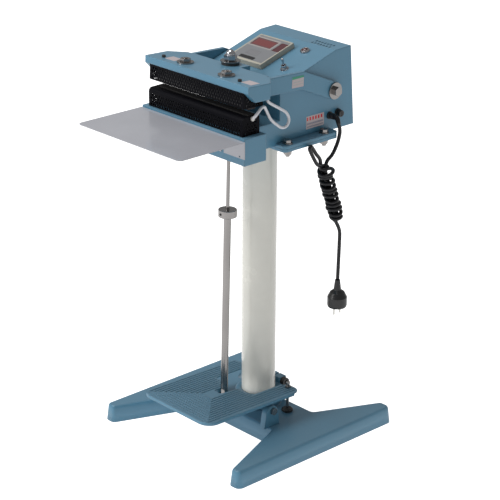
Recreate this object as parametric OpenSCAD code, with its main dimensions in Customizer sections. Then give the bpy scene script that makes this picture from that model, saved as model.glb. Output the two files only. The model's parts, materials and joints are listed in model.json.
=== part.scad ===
// Foot-operated heat sealer on a single pole.
// The origin is on the floor under the pole's axis, +X to the operator's right, +Y away from the
// operator and +Z up. The jaw is drawn open and the pedal up, as both rest.

/* [Stand] */
// Outer diameter of the pole
pole_d = 80; // [70:1:96]
// Wall thickness of the pole's tube
pole_wall = 3; // [2:0.5:5]
// Height of the head's seat above the floor
stand_h = 724; // [600:1:870]
// Thickness of the seat plate welded on top of the pole
seat_t = 7.5; // [6:0.5:12]

/* [Base] */
// Width over both feet
base_w = 474; // [420:1:570]
// Length of each foot
base_l = 496; // [430:1:600]
// How far the feet reach in front of the pole's axis
base_front = 280; // [250:1:340]
// Height of the base casting
base_h = 41; // [34:1:50]
// Wall thickness of the base casting
base_wall = 9; // [6:0.5:12]
// Width of a foot at its front tip
foot_tip = 32; // [28:1:44]
// Half width of the bridge between the feet
bridge_half = 126; // [115:1:150]
// How far the bridge reaches in front of the pole's axis
bridge_front = 82; // [66:1:100]
// How far the bridge reaches behind the pole's axis
bridge_rear = 59; // [56:1:80]
// Wall around the pole in the base's socket
hub_wall = 14; // [10:1:20]
// Height of the base's socket
hub_h = 77; // [60:1:84]

/* [Sealing jaws] */
// Length of the seal
seal_w = 300; // [250:1:400]
// Height of the closed seal above the head's seat
seal_up = 102; // [96:1:125]
// Distance of the seal in front of the pole's axis
seal_front = 166; // [155:1:190]
// Width of the sealing bars
bar_d = 20; // [14:1:26]
// How far the jaw opens, in degrees
jaw_open = 2.4; // [1.5:0.1:3]
// Distance of the jaw's pivot behind the pole's axis
pivot_back = 100; // [85:1:110]
// Height of the jaw's pivot above the head's seat
pivot_up = 97; // [90:1:110]
// Diameter of the jaw's two pivot bolts
pivot_d = 12; // [8:1:16]
// Thickness of the jaw's top plate
jaw_plate_t = 12; // [8:1:14]
// Thickness of the jaw's arms
arm_t = 10.5; // [8:0.5:14]
// Depth of the jaw's arms
arm_h = 39; // [32:1:42]
// Sheet thickness of the guards and of the table
sheet_t = 1.5; // [1:0.1:2]

/* [Cabinet] */
// Width of the cabinet
cabinet_w = 243; // [203:1:292]
// Wall thickness of the cabinet's casting
cabinet_wall = 5; // [3:0.5:7]
// Slope of the control panel, in degrees
panel_slope = 17.1; // [12:0.1:20]
// Side length of the temperature controller
controller_w = 106; // [88:1:128]
// Diameter of the seat's flange bolts
flange_bolt_d = 10; // [8:1:12]

/* [Table] */
// Width of the work table
table_w = 340; // [280:1:410]
// Depth of the work table in front of the beam
table_d = 183; // [150:1:220]
// Upward adjustment of the work table
table_lift = 8; // [4:1:8]

/* [Pull rod] */
// Diameter of the lower tube
tube_d = 17; // [14:1:20]
// Diameter of the upper rod
rod_d = 8.5; // [7:0.5:10]
// Diameter of the stop collar
collar_d = 43; // [34:1:52]
// Height of the stop collar above the floor
collar_z = 545; // [400:1:560]

/* [Pedal] */
// Width of the pedal
pedal_w = 234; // [200:1:240]
// Reach of the pedal in front of its pivot
pedal_reach = 199; // [165:1:230]
// Length of the pedal's arms behind its pivot
pedal_arm = 92; // [84:1:110]
// Width of the opening round the pole
pedal_gap = 128; // [112:1:140]
// Travel of the pedal, in degrees
pedal_travel = 10.5; // [8:0.1:12]
// Diameter of the pedal's two pivot bolts
pedal_bolt_d = 10; // [8:1:12]

/* [Fits] */
// Radial clearance of a running fit
running = 0.05; // [0.02:0.01:0.1]
// Gap between pieces that move past each other
side_gap = 0.3; // [0.3:0.1:0.6]
// Radial play of the rod's eye on the pedal's pin
eye_play = 0.8; // [0.5:0.1:1.5]

/* [Hidden] */
$fn = 48;

casting = "#5f8fa3";
steel = "#b9bcc0";
dark_steel = "#3a3a3c";
black = "#1d1d20";

// Heights and distances worked out from the sizes above
seal_z = stand_h + seal_up;
pivot_z = stand_h + pivot_up;
plate_top = seal_z + 56;
plate_low = plate_top - jaw_plate_t;
guard_half = seal_w/2 + 4;
cheek_in = guard_half + 1;
jaw_half = cheek_in + 13.5;
jaw_front = seal_front + 29;
jaw_rear = seal_front - 35;
arm_in = cabinet_w/2 + 2;
arm_out = arm_in + arm_t;
closed_gap = 0.4;
beam_front = seal_front + 37;
beam_rear = seal_front - 26;
beam_half = seal_w/2 + 18;
beam_low = stand_h - 2;
beam_top = seal_z - 44;
cabinet_half = cabinet_w/2;
face_y = -56;
face_low = beam_top - 1;
face_top = seal_z + 31;
back_y = 161;
back_foot = 175;
roof_y = 113;
roof_z = face_top + (roof_y - face_y)*tan(panel_slope);
flange_half = cabinet_half + 28.5;
flange_front = 67;
flange_rear = 99;
flange_t = 7;
bolt_x = cabinet_half + 14.5;
bolt_ys = [-45, 67];
rod_y = -(seal_front - 72.3);
spacer_h = 7;
washer_h = 2;
swivel_gap = 0.7;
slot_half = 13;
pedal_pivot_y = -66;
pedal_pivot_z = base_h + 39;
pedal_tilt = 1.7;
pedal_top = 24.2;
pedal_t = 3;
pedal_lip = 8;
pin_y = -44;
pin_z = 7;
pin_d = 8;
ear_x = 98;
ear_t = 6;
lug_x = 105;
lug_t = 15;
lug_r = 19.5;
lug_top = [pedal_pivot_y - 2, pedal_pivot_z - 7];
stop_x = 87;
stop_y = 13;
stop_bolt_d = 7;
stop_foot_h = 9;
stop_foot_low = base_h + 3.2 - pedal_pivot_z;
gland_y = 97;
gland_z = stand_h + 38;
fuse_y = 123;
screw_z = stand_h + 28;
cord_d = 8.5;
lead_d = 6.5;

// The heater lead's route from the jaw's clip, round in a loop, to the lower bar's socket
lead_points = [
    [150, -121, 850], [151, -116, 842], [151, -84, 822], [151, -64, 808], [151, -57, 792], [151, -63, 779],
    [151, -78, 778], [151, -96, 790], [151, -112, 805], [152, -125, 826], [155, -134, 837], [158, -145, 838],
    [161, -157, 832], [160, -165, 824], [154, -168, 818]
];
// The power cord's route from its gland to the coiled part
cord_points = [
    [137, 97, 762], [146, 97, 760], [152, 96, 750], [153, 100, 732], [152, 97, 712], [151, 88, 692],
    [150, 78, 678], [150, 64, 668], [150, 50, 664]
];
// The small loop of cord that stands out of the coiled part's top
loop_points = [
    [151, 45, 662], [154, 31, 668], [156, 18, 684], [158, 5, 704], [159, 0, 714], [158, 5, 718], [156, 14, 709],
    [154, 26, 694], [152, 40, 678], [150, 50, 664]
];
// The power cord's route from the coiled part to the plug
tail_points = [
    [150, 104, 513], [150, 109, 492], [150, 110, 465], [150, 109, 430], [150, 108, 400], [150, 107, 370]
];
coil_top = [150, 50, 664];
coil_low = [150, 104, 513];
coil_d = 36;

// Position and turn helpers
module on_panel(x, u) translate([x, face_y, face_top]) rotate([panel_slope, 0, 0]) translate([0, u, 0]) children();

module opened() translate([0, pivot_back, pivot_z]) rotate([-jaw_open, 0, 0])
    translate([0, -pivot_back, -pivot_z]) children();

module on_pedal() translate([0, pedal_pivot_y, pedal_pivot_z]) rotate([-pedal_tilt, 0, 0]) children();

module both_sides() {
    children();
    mirror([1, 0, 0]) children();
}

// An outline in the YZ plane, given as [y, z] points, from x0 to x1
module side_profile(x0, x1) translate([x0, 0, 0]) rotate([90, 0, 90]) linear_extrude(x1 - x0) children();

// A cylinder along +X that starts at x0
module along_x(x0, y, z, r, h) translate([x0, y, z]) rotate([0, 90, 0]) cylinder(r = r, h = h);

module block(lo, hi) translate(lo) cube(hi - lo);

// Outline helpers
function unit(v) = v/norm(v);
function left_of(v) = [-v.y, v.x];
function nth(p, i) = p[(i + len(p)) % len(p)];

// The outline p, listed anticlockwise, moved inwards by d
function inset(p, d) = [for (i = [0:len(p) - 1])
    let (n = left_of(unit(nth(p, i) - nth(p, i - 1))), m = left_of(unit(nth(p, i + 1) - nth(p, i))))
    nth(p, i) + (n + m)*d/(1 + n*m)];

// The arc that rounds corner b, between a and c, with radius r
function corner(a, b, c, r, steps = 6) =
    let (u = unit(a - b), v = unit(c - b), half = acos(u*v)/2, centre = b + unit(u + v)*r/sin(half),
         from = b + u*r/tan(half) - centre, start = atan2(from.y, from.x),
         turn = (u.x*v.y - u.y*v.x > 0 ? -1 : 1)*(180 - 2*half))
    [for (i = [0:steps]) centre + r*[cos(start + turn*i/steps), sin(start + turn*i/steps)]];

// The outline p with every corner rounded, each by its own entry in r
function rounded(p, r) = [for (i = [0:len(p) - 1]) each corner(nth(p, i - 1), p[i], nth(p, i + 1), r[i])];

// The point where the line from p touches a circle, on its left or right side
function touch(p, centre, r, side) =
    let (away = p - centre, spread = acos(r/norm(away)), base = atan2(away.y, away.x))
    centre + r*[cos(base + side*spread), sin(base + side*spread)];

// A lug in the YZ plane with a round top of radius r at the top, on a foot from y0 to y1
module lug_profile(y0, y1, foot_z, top, r) {
    translate(top) circle(r = r);
    polygon([[y0, foot_z], [y1, foot_z], touch([y1, foot_z], top, r, 1), touch([y0, foot_z], top, r, -1)]);
}

// Soft round lines: one closed tube of n sides along a route
function smooth(p, t, i) = let (a = p[max(i - 1, 0)], b = p[i], c = p[i + 1], d = p[min(i + 2, len(p) - 1)])
    ((2*b) + (c - a)*t + (2*a - 5*b + 4*c - d)*t*t + (3*b - a - 3*c + d)*t*t*t)/2;
function route(p, steps) = concat([for (i = [0:len(p) - 2], s = [0:steps - 1]) smooth(p, s/steps, i)],
    [p[len(p) - 1]]);
function heading(p, i) = unit(p[min(i + 1, len(p) - 1)] - p[max(i - 1, 0)]);
function ring(c, t, r, n) = let (side = unit(cross(t, [0, 1, 0.02])), up = cross(side, t))
    [for (k = [0:n - 1]) c + r*(side*cos(360*k/n) + up*sin(360*k/n))];

module tube(points, r, n = 10, steps = 2) {
    line = route(points, steps);
    count = len(line);
    polyhedron(
        points = [for (i = [0:count - 1]) each ring(line[i], heading(line, i), r, n)],
        faces = concat(
            [[for (k = [0:n - 1]) k]],
            [for (i = [0:count - 2], k = [0:n - 1])
                [i*n + k, (i + 1)*n + k, (i + 1)*n + (k + 1) % n, i*n + (k + 1) % n]],
            [[for (k = [n - 1:-1:0]) (count - 1)*n + k]]));
}

// Stand

foot_rear_tip = foot_tip + 6;
base_outline = [
    [base_w/2, -base_front], [base_w/2, base_l - base_front],
    [base_w/2 - foot_rear_tip, base_l - base_front], [bridge_half, bridge_rear],
    [-bridge_half, bridge_rear], [foot_rear_tip - base_w/2, base_l - base_front],
    [-base_w/2, base_l - base_front], [-base_w/2, -base_front],
    [foot_tip - base_w/2, -base_front], [-bridge_half, -bridge_front],
    [bridge_half, -bridge_front], [base_w/2 - foot_tip, -base_front]
];
base_corners = [14, 16, 15, 8, 8, 15, 16, 14, 12, 8, 8, 12];
hub_r = pole_d/2 + hub_wall;
hub_floor = 10;
clamp_half = 22;
clamp_y = hub_r + 6;
clamp_z = hub_h + 5;
clamp_bolt_r = 5;
clamp_slot = 4;
base_rib = 7;
rib_x = bridge_half + 10;

module base() color(casting) difference() {
    union() {
        linear_extrude(base_h) polygon(rounded(base_outline, base_corners));
        cylinder(r = hub_r, h = hub_h);
        block([-clamp_half, 0, 0], [clamp_half, clamp_y + 10, clamp_z + 10]);
    }
    difference() {
        translate([0, 0, -1]) linear_extrude(base_h - base_wall + 1) polygon(inset(base_outline, base_wall));
        translate([0, 0, -2]) cylinder(r = hub_r, h = base_h);
        block([-clamp_half, 0, -2], [clamp_half, clamp_y + 10, base_h]);
        both_sides() block([rib_x, -base_l, -2], [rib_x + base_rib, base_l, base_h]);
    }
    translate([0, 0, hub_floor]) cylinder(r = pole_d/2, h = hub_h + 20);
    block([-clamp_slot/2, 0, base_h], [clamp_slot/2, clamp_y + 20, hub_h + 20]);
    along_x(-clamp_half - 1, clamp_y, clamp_z, clamp_bolt_r, 2*clamp_half + 2);
}

module pedal_lugs() color(casting) both_sides() difference() {
    side_profile(lug_x, lug_x + lug_t) lug_profile(lug_top.x - 25, lug_top.x + 23, base_h, lug_top, lug_r);
    along_x(lug_x - 1, pedal_pivot_y, pedal_pivot_z, pedal_bolt_d/2, lug_t + 2);
}

module pole() color("ivory") translate([0, 0, hub_floor]) difference() {
    cylinder(r = pole_d/2, h = stand_h - seat_t - hub_floor);
    translate([0, 0, -1]) cylinder(r = pole_d/2 - pole_wall, h = stand_h);
}

module clamp_bolt() color(dark_steel) {
    along_x(-clamp_half - 4, clamp_y, clamp_z, clamp_bolt_r, 2*clamp_half + 4);
    difference() {
        along_x(clamp_half, clamp_y, clamp_z, 2*clamp_bolt_r, 11);
        translate([clamp_half + 5, clamp_y, clamp_z]) rotate([0, 90, 0]) cylinder(r = clamp_bolt_r, h = 7, $fn = 6);
    }
}

module flange_plate(z, t) translate([0, 0, z]) linear_extrude(t)
    polygon(rounded([[flange_half, -flange_front], [flange_half, flange_rear], [-flange_half, flange_rear],
                     [-flange_half, -flange_front]], [10, 10, 10, 10]));

module at_flange_bolts() for (x = [-bolt_x, bolt_x], y = bolt_ys) translate([x, y, stand_h]) children();

module seat_plate() color(casting) difference() {
    union() {
        flange_plate(stand_h - seat_t, seat_t);
        translate([0, 0, stand_h - seat_t - 12]) cylinder(r = pole_d/2 - pole_wall, h = 12);
    }
    translate([0, 0, stand_h - seat_t - 20]) cylinder(r = pole_d/2 - 2*pole_wall, h = 20);
    at_flange_bolts() translate([0, 0, -seat_t - 1]) cylinder(r = flange_bolt_d/2, h = seat_t + 2);
}

module flange_bolts() color(steel) at_flange_bolts() {
    translate([0, 0, -seat_t - 15]) cylinder(r = flange_bolt_d/2, h = flange_t + seat_t + 17);
    translate([0, 0, flange_t + 2]) cylinder(r = flange_bolt_d*0.95, h = 7, $fn = 6);
}

module flange_washers() color(steel) at_flange_bolts() for (z = [flange_t, -seat_t - 2])
    translate([0, 0, z]) difference() {
        cylinder(r = flange_bolt_d*1.15, h = 2);
        translate([0, 0, -1]) cylinder(r = flange_bolt_d/2, h = 4);
    }

module flange_nuts() color(steel) at_flange_bolts() translate([0, 0, -seat_t - 10]) difference() {
    cylinder(r = flange_bolt_d*0.95, h = 8, $fn = 6);
    translate([0, 0, -1]) cylinder(r = flange_bolt_d/2, h = 10);
}

// Head

cabinet_outline = [
    [-beam_rear, stand_h + 2], [back_foot, stand_h + 2], [back_y, roof_z + 2], [roof_y, roof_z],
    [face_y, face_top], [face_y, face_low], [-beam_rear, face_low]
];
floor_z = stand_h + flange_t;
rod_slot_half = 12;
rod_slot_front = rod_y - 20;
rod_slot_rear = rod_y + 20;

module cabinet() color(casting) difference() {
    side_profile(-cabinet_half, cabinet_half) polygon(cabinet_outline);
    difference() {
        side_profile(cabinet_wall - cabinet_half, cabinet_half - cabinet_wall)
            polygon(inset(cabinet_outline, cabinet_wall));
        block([-cabinet_half, -flange_front - cabinet_wall, stand_h],
              [cabinet_half, back_foot, floor_z + cabinet_wall]);
    }
    block([-cabinet_half - 1, -flange_front, stand_h], [cabinet_half + 1, flange_rear, floor_z]);
    block([-rod_slot_half, rod_slot_front, stand_h - 1], [rod_slot_half, rod_slot_rear, face_low + 1]);
    both_sides() along_x(cabinet_half - cabinet_wall - 1, pivot_back, pivot_z, pivot_d/2, cabinet_wall + 2);
    along_x(cabinet_half - cabinet_wall - 1, gland_y, gland_z, gland_r - 2, cabinet_wall + 2);
    along_x(cabinet_half - cabinet_wall - 1, fuse_y, gland_z + 1, fuse_r - 2, cabinet_wall + 2);
    on_panel(toggle_x, toggle_u) translate([0, 0, -cabinet_wall - 2]) cylinder(r = 6, h = cabinet_wall + 4);
    on_panel(lamp_x, lamp_u) translate([0, 0, -cabinet_wall - 2]) cylinder(r = 7, h = cabinet_wall + 4);
    for (i = [0:vent_count - 1], row = [0, 1])
        translate([vent_x + i*vent_pitch, vent_y + row*vent_row, roof_z - 12]) block([-2, -4, 0], [2, 4, 20]);
}

module mounting_flange() color(casting) difference() {
    flange_plate(stand_h, flange_t);
    at_flange_bolts() translate([0, 0, -1]) cylinder(r = flange_bolt_d/2, h = flange_t + 2);
}

vent_count = 7;
vent_pitch = 9;
vent_x = 42;
vent_y = 120;
vent_row = 14;

module jaw_pivot_bolts() color(steel) both_sides() {
    along_x(cabinet_half - 12, pivot_back, pivot_z, pivot_d/2, arm_out - cabinet_half + 18);
    translate([arm_out + side_gap + 3, pivot_back, pivot_z]) rotate([0, 90, 0])
        cylinder(r = pivot_d*0.92, h = 10, $fn = 6);
}

module jaw_pivot_washers() color(steel) both_sides() difference() {
    along_x(arm_out + side_gap, pivot_back, pivot_z, pivot_d*1.6, 3);
    along_x(arm_out, pivot_back, pivot_z, pivot_d/2, 5);
}

module jaw_pivot_spacers() color(steel) both_sides() difference() {
    along_x(cabinet_half, pivot_back, pivot_z, pivot_d, arm_in - cabinet_half - side_gap);
    along_x(cabinet_half - 1, pivot_back, pivot_z, pivot_d/2, 5);
}

module lower_beam() color(casting) difference() {
    block([-beam_half, -beam_front, beam_low], [beam_half, -beam_rear, beam_top]);
    block([8 - beam_half, 8 - beam_front, beam_low - 1], [beam_half - 8, -beam_rear - 8, beam_top - 8]);
    for (x = [-screw_x, screw_x]) translate([x, -beam_front - 1, screw_z]) rotate([-90, 0, 0])
        cylinder(r = 2.5, h = 20);
}

module lower_bar() color("silver")
    block([-seal_w/2, -seal_front - bar_d/2, beam_top], [seal_w/2, bar_d/2 - seal_front, seal_z - 3]);

module lower_strip() color("white")
    block([-seal_w/2, -seal_front - bar_d/2, seal_z - 3], [seal_w/2, bar_d/2 - seal_front, seal_z]);

guard_front = seal_front + 30;
guard_rear = seal_front - 19;
lower_guard_outline = [
    [-guard_front, beam_top], [-guard_rear, beam_top], [-guard_rear, seal_z - 4],
    [bar_d/2 - seal_front, seal_z - 1.5], [-seal_front - bar_d/2, seal_z - 1.5], [-guard_front, seal_z - 5]
];

module lower_guard() color(black) difference() {
    side_profile(-guard_half, guard_half) polygon(lower_guard_outline);
    side_profile(sheet_t - guard_half, guard_half - sheet_t) polygon(inset(lower_guard_outline, sheet_t));
    block([-seal_w/2, -seal_front - bar_d/2, beam_top - 1], [seal_w/2, bar_d/2 - seal_front, seal_z + 1]);
    block([sheet_t - guard_half, sheet_t - guard_front, beam_top - 1],
          [guard_half - sheet_t, -guard_rear - sheet_t, beam_top + 3]);
}

screw_x = table_w/2 - 70;

module table_screws() color(dark_steel) for (x = [-screw_x, screw_x])
    translate([x, -beam_front, screw_z]) rotate([90, 0, 0]) {
        translate([0, 0, -10]) cylinder(r = 2.5, h = 11 + 2*side_gap + sheet_t);
        translate([0, 0, 2*side_gap + sheet_t]) cylinder(r = 5, h = 2.5);
    }

// Controls on the sloping panel

controller_x = -30;
controller_u = 92;
controller_h = 12;
display_x = controller_x - 13;
display_u = controller_u + 24;
display_w = 66;
display_l = 31;
red_x = controller_x + 39;
red_u = controller_u + 23;
red_w = 21;
red_l = 36;
key_x = controller_x - 4;
key_u = controller_u - 40;
key_w = 45;
key_l = 9;
key_depth = 4;
key_press = 0.8;
lamp_x = 58;
lamp_u = 143;
toggle_x = 71;
toggle_u = 64;
toggle_pivot = 4;

module pad(w, l, z, h) translate([-w/2, -l/2, z]) cube([w, l, h]);

module controller() color("wheat") difference() {
    on_panel(controller_x, controller_u) pad(controller_w, controller_w, 0, controller_h);
    on_panel(display_x, display_u) pad(display_w, display_l, controller_h - 2, 4);
    on_panel(red_x, red_u) pad(red_w, red_l, controller_h - 2, 4);
    on_panel(key_x, key_u) pad(key_w + 2*side_gap, key_l + 2*side_gap, controller_h - key_depth, 8);
}

module main_display() color("#6d7f84") on_panel(display_x, display_u)
    pad(display_w, display_l, controller_h - 2, 1.5);

module red_display() color("darkred") on_panel(red_x, red_u) pad(red_w, red_l, controller_h - 2, 1.5);

module controller_key() color(black) on_panel(key_x, key_u)
    pad(key_w, key_l, controller_h - key_depth + key_press + side_gap, key_depth);

module lamp_ring() color("silver") on_panel(lamp_x, lamp_u) rotate_extrude()
    polygon([[7, 0], [11, 0], [11, 2.5], [9.5, 5], [7, 5]]);

module lamp_lens() color("#401414") on_panel(lamp_x, lamp_u) {
    translate([0, 0, -8]) cylinder(r = 7, h = 12);
    translate([0, 0, 4]) intersection() {
        translate([0, 0, -6]) sphere(r = 9.2);
        cylinder(r = 7, h = 6);
    }
}

module toggle_body() color("silver") on_panel(toggle_x, toggle_u) difference() {
    union() {
        translate([0, 0, -16]) cylinder(r = 6, h = 26);
        translate([0, 0, 0.5]) cylinder(r = 9, h = 3, $fn = 6);
        cylinder(r = 10, h = 0.5);
    }
    translate([0, 0, 2]) cylinder(r = 4.6, h = 12);
}

module toggle_lever() color("silver") on_panel(toggle_x, toggle_u) translate([0, 0, toggle_pivot])
    rotate_extrude() polygon([[0, -1.5], [1.4, -1.2], [2.2, 0], [2.2, 6], [2.9, 20], [2.4, 22.3], [0, 23]]);

// Fittings on the cabinet's right side

gland_r = 8.5;
fuse_r = 9.5;

module gland() color(black) difference() {
    union() {
        along_x(cabinet_half - cabinet_wall, gland_y, gland_z, gland_r - 2, cabinet_wall);
        along_x(cabinet_half, gland_y, gland_z, gland_r, 4);
        along_x(cabinet_half + 4, gland_y, gland_z, gland_r - 1.5, 11.5);
    }
    along_x(cabinet_half + 8, gland_y, gland_z, cord_d/2, 10);
}

module fuse_holder() color(black) {
    along_x(cabinet_half - 20, fuse_y, gland_z + 1, fuse_r - 2, 20);
    along_x(cabinet_half, fuse_y, gland_z + 1, fuse_r, 4);
}

module fuse_cap() color(black) difference() {
    translate([cabinet_half + 4 + side_gap, fuse_y, gland_z + 1]) rotate([0, 90, 0]) rotate_extrude()
        polygon([[0, 0], [fuse_r - 1.5, 0], [fuse_r - 1.5, 8], [fuse_r - 2.5, 9.5], [0, 9.5]]);
    translate([cabinet_half + 12.5, fuse_y, gland_z + 1]) cube([4, 1.6, 12], center = true);
}

module side_label() color("mistyrose")
    block([cabinet_half, 25, stand_h + 20], [cabinet_half + 0.4, 80, stand_h + 49]);

module lead_sockets() color("ivory")
    along_x(guard_half, -seal_front - 2, seal_z - 8, 5, 3);

// Upper jaw, drawn closed and then opened

cheek_low = seal_z + 20;
arm_top = plate_top - 3;
arm_bend = 0.5;
arm_end_r = 20;
tongue_half = 36;
tongue_y = rod_y + 26;
plate_back = rod_y - 2;
stud_x = 67*seal_w/300;

module mirrored_outline(right) polygon(concat(right, [for (i = [len(right) - 1:-1:0]) [-right[i].x, right[i].y]]));

module arm_profile() {
    half = arm_h/2;
    bend = [arm_bend, arm_top - half];
    pivot = [pivot_back, pivot_z];
    run = unit(pivot - bend);
    mitre = half*tan(-atan2(run.y, run.x)/2);
    polygon([[-jaw_rear + 25, arm_top - arm_h], bend - [mitre, half], pivot - left_of(run)*half,
             pivot + left_of(run)*half, bend + [mitre, half], [-jaw_rear + 25, arm_top]]);
    translate(pivot) circle(r = arm_end_r);
}

module jaw_closed() difference() {
    union() {
        translate([0, 0, plate_low]) linear_extrude(jaw_plate_t) mirrored_outline([
            [jaw_half, -jaw_front], [jaw_half, -jaw_rear], [arm_out, -jaw_rear + 32], [arm_in, -jaw_rear + 32],
            [arm_in, plate_back], [tongue_half, plate_back], [tongue_half, tongue_y]]);
        block([-jaw_half, -jaw_front, plate_top - 16], [jaw_half, 7 - jaw_front, plate_low + 1]);
        for (x = [-stud_x, stud_x]) translate([x, -seal_front, plate_top - 16]) cylinder(r = 13, h = 10);
        both_sides() {
            side_profile(cheek_in, jaw_half) polygon([
                [-jaw_front, plate_top - 16], [-jaw_front + 21, cheek_low], [-jaw_rear, cheek_low],
                [-jaw_rear, plate_low + 1], [-jaw_front, plate_low + 1]]);
            translate([0, 0, cheek_low]) linear_extrude(plate_low + 1 - cheek_low) polygon([
                [jaw_half, -jaw_rear], [arm_out, -jaw_rear + 32], [arm_in, -jaw_rear + 32],
                [arm_in, -jaw_rear + 25], [cheek_in, -jaw_rear - 4], [jaw_half, -jaw_rear - 4]]);
            side_profile(arm_in, arm_out) arm_profile();
        }
    }
    both_sides() along_x(arm_in - 1, pivot_back, pivot_z, pivot_d/2 + running, arm_t + 2);
    translate([0, rod_y, plate_low - 1]) cylinder(r = rod_d/2 + 3, h = jaw_plate_t + 2);
}

module jaw() color(casting) opened() jaw_closed();

upper_front = seal_front + 27.6;
upper_rear = seal_front - 27.6;
upper_low = seal_z + 5;
upper_top = plate_top - 16;

module upper_guard() color(black) opened() difference() {
    block([-guard_half, -upper_front, upper_low], [guard_half, -upper_rear, upper_top]);
    block([sheet_t - guard_half, sheet_t - upper_front, upper_low - 1],
          [guard_half - sheet_t, -upper_rear - sheet_t, upper_top - sheet_t]);
}

module upper_bar() color("silver") opened()
    block([-seal_w/2, -seal_front - bar_d/2, seal_z + closed_gap + 2],
          [seal_w/2, bar_d/2 - seal_front, upper_top - sheet_t]);

module upper_strip() color("burlywood") opened()
    block([-seal_w/2, -seal_front - bar_d/2, seal_z + closed_gap],
          [seal_w/2, bar_d/2 - seal_front, seal_z + closed_gap + 2]);

module on_jaw_top(x, y) opened() translate([x, y, plate_top]) children();

module stud_washers() color(steel) for (x = [-stud_x, stud_x]) on_jaw_top(x, -seal_front)
    difference() {
        cylinder(r = 19, h = 3);
        translate([0, 0, -1]) cylinder(r = 5, h = 5);
    }

module stud_nuts() color(steel) for (x = [-stud_x, stud_x]) on_jaw_top(x, -seal_front) {
    translate([0, 0, 3]) cylinder(r = 12, h = 7, $fn = 6);
    cylinder(r = 5, h = 11.5);
}

module cap_screws() color(dark_steel) for (p = [[-130, -174], [120, -176]])
    on_jaw_top(p.x*seal_w/300, p.y + 166 - seal_front) difference() {
        cylinder(r = 4.5, h = 5);
        translate([0, 0, 2]) cylinder(r = 2.2, h = 4, $fn = 6);
    }

module jaw_labels() color("lavenderblush") for (x = [-106, 142])
    on_jaw_top(x*seal_w/300, -seal_front + 0.5) translate([-16, -12.5, 0]) cube([32, 25, 0.4]);

module arm_label() color("lavenderblush") opened()
    block([arm_out, -34, arm_top - 32], [arm_out + 0.4, 1, arm_top - 7]);

module lead_clip() color("ivory") opened()
    translate([(arm_out + jaw_half)/2 - 1.5, -jaw_rear + 8, cheek_low - 4]) cylinder(r = 5.5, h = 4);

module rod_spacer() color(black) on_jaw_top(0, rod_y) difference() {
    cylinder(r = 20, h = spacer_h);
    translate([0, 0, -1]) cylinder(r = rod_d/2 + 2.2, h = spacer_h + 2);
}

module rod_washer() color(steel) on_jaw_top(0, rod_y) translate([0, 0, spacer_h]) difference() {
    cylinder(r = 22.5, h = washer_h);
    translate([0, 0, -1]) cylinder(r = rod_d/2 + 1.6, h = washer_h + 2);
}

// Pull rod, built upwards from the pedal's pin towards the jaw's washer

function turned(y, z, a) = [y*cos(a) - z*sin(a), y*sin(a) + z*cos(a)];
rod_head = [pivot_back, pivot_z]
    + turned(rod_y - pivot_back, plate_top + spacer_h + washer_h + swivel_gap - pivot_z, -jaw_open);
rod_foot = [pedal_pivot_y, pedal_pivot_z] + turned(pin_y, pin_z, -pedal_tilt);
rod_length = norm(rod_head - rod_foot);
rod_lean = atan2(rod_head.x - rod_foot.x, rod_head.y - rod_foot.y);
collar_up = collar_z - rod_foot.y;
collar_h = 17.5;

module on_rod(z) translate([0, rod_foot.x, rod_foot.y]) rotate([-rod_lean, 0, 0]) translate([0, 0, z]) children();

module upper_rod() color(steel) on_rod(collar_up - 6)
    cylinder(r = rod_d/2, h = rod_length - collar_up + 14);

module dome_nut() color("silver") on_rod(rod_length) difference() {
    union() {
        cylinder(r = 9, h = 1.5);
        translate([0, 0, 1.5]) cylinder(r = 15, h = 10, $fn = 6);
        translate([0, 0, 11.5]) cylinder(r = 11, h = 2);
        translate([0, 0, 13]) sphere(r = 10.5);
    }
    translate([0, 0, -20]) cylinder(r = rod_d/2, h = 28);
    translate([0, 0, -20]) cylinder(r = 30, h = 20);
}

module collar() color(steel) on_rod(collar_up - collar_h/2) difference() {
    rotate_extrude() polygon([[0, 0], [collar_d/2 - 1, 0], [collar_d/2, 1], [collar_d/2, collar_h - 1],
                              [collar_d/2 - 1, collar_h], [0, collar_h]]);
    translate([0, 0, -1]) cylinder(r = tube_d/2, h = collar_h/2 - 5);
    translate([0, 0, -1]) cylinder(r = rod_d/2, h = collar_h + 2);
    translate([0, -collar_d/2 - 1, collar_h/2]) rotate([-90, 0, 0]) cylinder(r = 3, h = 12);
}

module collar_screw() color(dark_steel) on_rod(collar_up) difference() {
    translate([0, -collar_d/2 - 0.5, 0]) rotate([-90, 0, 0]) cylinder(r = 3, h = 11.5);
    translate([0, -collar_d/2 - 1, 0]) rotate([-90, 0, 0]) cylinder(r = 1.5, h = 3.5, $fn = 6);
}

module lower_tube() color(steel) on_rod(0) difference() {
    union() {
        cylinder(r = tube_d/2, h = collar_up - 6);
        translate([-tube_d/2, 0, 0]) rotate([0, 90, 0]) cylinder(r = tube_d/2, h = tube_d);
    }
    translate([0, 0, 30]) cylinder(r = tube_d/2 - 2, h = collar_up);
    translate([-tube_d, 0, 0]) rotate([0, 90, 0]) cylinder(r = pin_d/2 + eye_play, h = 2*tube_d);
}

// Pedal, drawn from its pivot

pedal_half = pedal_w/2;
pedal_outline = [
    [-pedal_half, -pedal_reach], [pedal_half, -pedal_reach], [pedal_half, pedal_arm],
    [pedal_gap/2, pedal_arm], [pedal_gap/2, -16], [slot_half, -16], [slot_half, -66],
    [-slot_half, -66], [-slot_half, -16], [-pedal_gap/2, -16], [-pedal_gap/2, pedal_arm],
    [-pedal_half, pedal_arm]
];
pedal_corners = [30, 30, 20, 24, 8, 5, 9, 9, 5, 8, 24, 20];
rib_h = 1.3;
rib_w = 3.5;
rib_pitch = 8.5;
rib_count = 11;

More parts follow.
